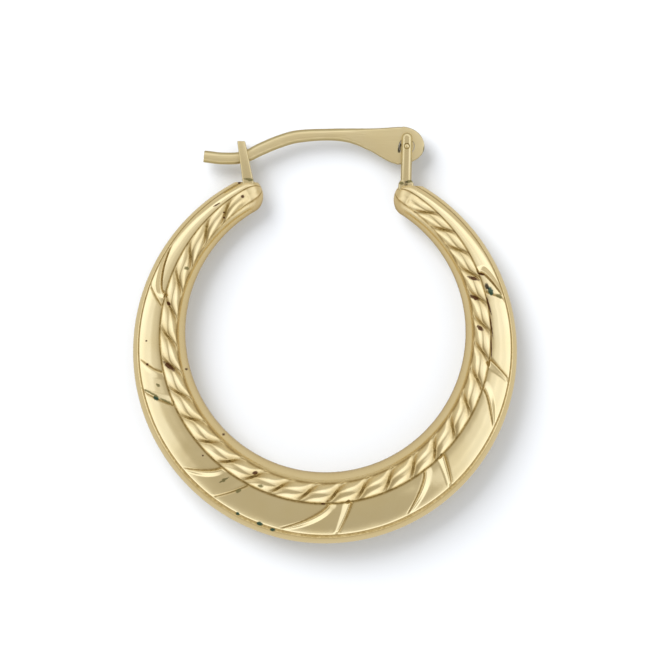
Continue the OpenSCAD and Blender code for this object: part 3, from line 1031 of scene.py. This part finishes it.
def makeEars():
    half = hingeSizes["earWidth"] / 2
    crest = pivotY + hingeSizes["earCrest"] - half
    strip = [(pivotX + half, solderedBase), (pivotX + half, crest)]
    strip += [
        (pivotX + half * math.cos(math.radians(a)), crest + half * math.sin(math.radians(a)))
        for a in range(12, 180, 12)
    ]
    strip += [(pivotX - half, crest), (pivotX - half, solderedBase)]
    inside = earSpan / 2
    outer = inside + hingeSizes["earThickness"]
    boreRadius = hingeSizes["rivet"] / 2 + hingeSizes["boreGap"]
    ears = []
    for name, low, high, face in (("earFront", inside, outer, outer), ("earBack", -outer, -inside, -outer)):
        ear = newObject(name, prism(name, strip, low, high))
        roundFace(ear, face, hingeSizes["faceRound"])
        cutWith(ear, barMesh("bore", (pivotX, pivotY, 0), boreRadius, 4))
        smoothByAngle(ear.data, 40)
        ears.append(ear)

    wide = hingeSizes["footWidth"] / 2
    top = flatHeight + hingeSizes["footHeight"]
    shoulder = flatHeight + hingeSizes["footHeight"] / 3
    footLine = [
        (pivotX - wide, solderedBase),
        (pivotX + wide, solderedBase),
        (pivotX + wide, shoulder),
        (pivotX + half, top),
        (pivotX - half, top),
        (pivotX - wide, shoulder),
    ]
    foot = newObject("earFoot", prism("earFoot", footLine, -outer, outer))
    softenEdges(foot, hingeSizes["footRound"], 5)

    webTop = pivotY - wireSizes["paddleWidth"] / 2 - hingeSizes["sideGap"]
    webLine = [
        (pivotX - half, solderedBase),
        (pivotX + half, solderedBase),
        (pivotX + half, webTop),
        (pivotX - half, webTop),
    ]
    webEdge = inside + hingeSizes["webOverlap"]
    web = newObject("earWeb", prism("earWeb", webLine, -webEdge, webEdge))
    softenEdges(web, hingeSizes["webRound"], 3)
    return ears + [foot, web]


def makeFork():
    leanX = catchSizes["rise"] * math.tan(math.radians(catchSizes["lean"]))
    topY = flatHeight + catchSizes["rise"]
    root, top = catchSizes["root"] / 2, catchSizes["top"] / 2
    outline = [
        (forkX - root, solderedBase),
        (forkX + root, solderedBase),
        (forkX + root, flatHeight),
        (forkX + top - leanX, topY),
        (forkX - top - leanX, topY),
        (forkX - root, flatHeight),
    ]
    outer = slotSpan / 2 + catchSizes["prong"]
    fork = newObject("catchFork", prism("catchFork", outline, -outer, outer))
    slotY = seatY - wireSizes["width"] / 2 - catchSizes["gap"]
    slot = [(forkX - 3, slotY), (forkX + 3, slotY), (forkX + 3, slotY + 4), (forkX - 3, slotY + 4)]
    cutWith(fork, prism("slot", slot, -slotSpan / 2, slotSpan / 2))
    softenEdges(fork, catchSizes["round"], 4)
    return fork


def makeRivet():
    barrel = wireSizes["hole"] / 2 - rivetSizes["barrelGap"]
    end = hingeSizes["rivet"] / 2
    barrelZ = earSpan / 2 - rivetSizes["endGap"]
    headZ = earSpan / 2 + hingeSizes["earThickness"] - rivetSizes["headDrop"]
    profile = [
        (0, headZ),
        (end * rivetSizes["crownShare"], headZ - rivetSizes["crownDrop"]),
        (end, headZ - rivetSizes["shoulderDrop"]),
        (end, barrelZ),
        (barrel, barrelZ),
    ]
    profile += [(x, -z) for x, z in reversed(profile)]
    form = bmesh.new()
    steps = rivetSizes["steps"]
    rings = []
    for x, z in profile:
        if x == 0:
            rings.append([form.verts.new((pivotX, pivotY, z))])
            continue
        ring = []
        for i in range(steps):
            a = 2 * math.pi * i / steps
            ring.append(form.verts.new((pivotX + x * math.cos(a), pivotY + x * math.sin(a), z)))
        rings.append(ring)
    for low, high in zip(rings, rings[1:]):
        for i in range(steps):
            k = (i + 1) % steps
            if len(low) == 1:
                form.faces.new((low[0], high[i], high[k]))
            elif len(high) == 1:
                form.faces.new((low[i], low[k], high[0]))
            else:
                form.faces.new((low[i], low[k], high[k], high[i]))
    bmesh.ops.recalc_face_normals(form, faces=form.faces)
    mesh = bpy.data.meshes.new("rivet")
    form.to_mesh(mesh)
    form.free()
    smoothByAngle(mesh, 35)
    return newObject("rivet", mesh)


def finishPiece(piece, material, body):
    piece.data.materials.clear()
    piece.data.materials.append(material)
    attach(piece, body)


hoopGold = goldMaterial("pressed gold", relief=True, marks=stainRows)
wireGold = goldMaterial("drawn gold", marks=paddleDirtAndShade, roughness=0.34, drawn=True)
solderGold = goldMaterial("soldered gold", marks=solderStainsAndShadow, roughness=0.2)

shellTree, shellInputs = buildShellTree()
for name, side in (("hoopFront", 1.0), ("hoopBack", -1.0)):
    half = bakeNodes(name, shellTree, shellInputs, {"Side": side}, hoopGold)
    closeShell(half)
    finishPiece(half, hoopGold, "hoop")
    print(name, "has", len(half.data.polygons), "faces")
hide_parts("hoop")

for piece in makeEars() + [makeFork()]:
    piece.data.transform(hoopToRow)
    finishPiece(piece, solderGold, "hoop")
print("ears and fork are on the tips")

rivet = makeRivet()
rivet.data.transform(hoopToRow)
finishPiece(rivet, solderGold, "hoop")
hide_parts("hinge_pin")

earWire = makeEarWire()
earWire.data.transform(hoopToRow)
finishPiece(earWire, wireGold, "ear_wire")
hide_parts("ear_wire")
print("ear wire has", len(earWire.data.polygons), "faces")

studio = {
    "frameWidth": 0.04156,
    "lens": 250.0,
    "sensor": 36.0,
    "roll": 1.26,
    "aim": (0.00044, 0.00011, 0.0014),
    "paper": (0.77, 0.80, 0.86, 1.0),
    "paperRoughness": 0.8,
    "paperSpecular": 0.1,
    "tableHalf": 0.6,
    "tableDrop": 0.00005,
    "dimColour": (1.0, 0.93, 0.78, 1.0),
    "brightColour": (0.98, 0.99, 1.0, 1.0),
    "dimGlow": 0.50,
    "wallGlow": 0.50,
    "floorGlow": 0.16,
}
# the tent round the table, by elevation in degrees: how much of its skirt, its wall, its shoulder
# and its floor
tentHeights = [
    (-90, 0.00, 0.00, 0.00, 1.00),
    (-8, 0.00, 0.00, 0.00, 1.00),
    (6, 0.05, 0.00, 0.00, 0.40),
    (14, 0.90, 0.00, 0.00, 0.00),
    (20, 1.50, 0.00, 0.00, 0.00),
    (32, 1.35, 0.00, 0.00, 0.00),
    (41, 0.25, 0.80, 0.00, 0.00),
    (47, 0.00, 1.00, 0.10, 0.00),
    (53, 0.00, 0.70, 0.50, 0.00),
    (59, 0.00, 0.05, 0.90, 0.00),
    (67, 0.00, 0.00, 0.85, 0.00),
    (78, 0.00, 0.00, 0.10, 0.00),
    (90, 0.00, 0.00, 0.00, 0.00),
]
# how bright the wall and the shoulder are, by turn from west through south, east and north
tentSides = [
    (0.000, 1.00, 0.75),
    (0.055, 0.95, 0.20),
    (0.110, 0.20, 0.00),
    (0.170, 0.00, 0.00),
    (0.350, 0.00, 0.00),
    (0.390, 0.65, 0.65),
    (0.440, 0.85, 0.70),
    (0.500, 1.00, 0.90),
    (0.610, 0.90, 0.80),
    (0.750, 0.80, 0.50),
    (0.860, 0.55, 0.40),
    (0.920, 0.70, 0.40),
    (1.000, 1.00, 0.75),
]
# azimuth (0 east, 90 north in the picture), elevation, width, height, distance, radiance, colour,
# and whether the gold mirrors it
softboxes = {
    "keyBox": (135, 43, 0.40, 0.40, 0.60, 6.9, (1.0, 0.99, 0.97), False),
    "fillBox": (270, 84, 0.90, 0.90, 0.90, 0.05, (0.96, 0.98, 1.0), False),
}


def lightTent(world):
    # a white tent with a dim opening round the camera
    world.use_nodes = True
    graph = Graph(world.node_tree)
    tent = world.node_tree.nodes["Background"]
    east, north, up = graph.parts(graph.node("ShaderNodeTexCoord"))
    rise = up.arcsin() / math.pi + 0.5
    turn = north.arctan2(east) / (2 * math.pi) + 0.5

    def byHeight(column):
        return graph.curve([(row[0] / 180 + 0.5, row[column] / 2) for row in tentHeights], rise) * 2.0

    def bySide(column):
        return graph.curve([(row[0], row[column]) for row in tentSides], turn)

    walls = studio["wallGlow"] * (byHeight(1) + byHeight(2) * bySide(1) + byHeight(3) * bySide(2))
    white = (walls * 2.0).clamped()
    graph.plug(tent.inputs[0], graph.colourMix(white, studio["dimColour"], studio["brightColour"]))
    graph.plug(tent.inputs[1], studio["dimGlow"] + walls + studio["floorGlow"] * byHeight(4))


def makeStudio():
    scene = bpy.context.scene
    form = bmesh.new()
    bmesh.ops.create_grid(form, x_segments=1, y_segments=1, size=studio["tableHalf"])
    mesh = bpy.data.meshes.new("table")
    form.to_mesh(mesh)
    form.free()
    table = newObject("table", mesh)
    table.location.z = -studio["tableDrop"]
    paper = bpy.data.materials.new("white paper")
    paper.use_nodes = True
    paint = paper.node_tree.nodes["Principled BSDF"]
    paint.inputs["Base Color"].default_value = studio["paper"]
    paint.inputs["Roughness"].default_value = studio["paperRoughness"]
    paint.inputs["Specular IOR Level"].default_value = studio["paperSpecular"]
    mesh.materials.append(paper)
    table.visible_glossy = False

    world = bpy.data.worlds.new("tent")
    scene.world = world
    lightTent(world)

    for name, box in softboxes.items():
        azimuth, elevation, width, height, distance, radiance, colour, mirrored = box
        lamp = bpy.data.lights.new(name, "AREA")
        lamp.shape = "RECTANGLE"
        lamp.size = width
        lamp.size_y = height
        lamp.color = colour
        lamp.energy = radiance * math.pi * width * height
        stand = newObject(name, lamp)
        a, e = math.radians(azimuth), math.radians(elevation)
        away = Vector((math.cos(a) * math.cos(e), math.sin(a) * math.cos(e), math.sin(e)))
        stand.location = away * distance
        stand.rotation_euler = away.to_track_quat("Z", "Y").to_euler()
        stand.visible_glossy = mirrored

    camera = bpy.data.cameras.new("camera")
    camera.lens = studio["lens"]
    camera.sensor_width = studio["sensor"]
    camera.clip_start = 0.01
    camera.clip_end = 5.0
    holder = newObject("camera", camera)
    aim = Vector(studio["aim"])
    holder.location = aim + Vector((0, 0, studio["frameWidth"] * studio["lens"] / studio["sensor"]))
    holder.rotation_euler = (0, 0, math.radians(studio["roll"]))
    scene.camera = holder
    scene.view_settings.view_transform = "Standard"
    scene.view_settings.look = "None"


makeStudio()
print("studio is set")
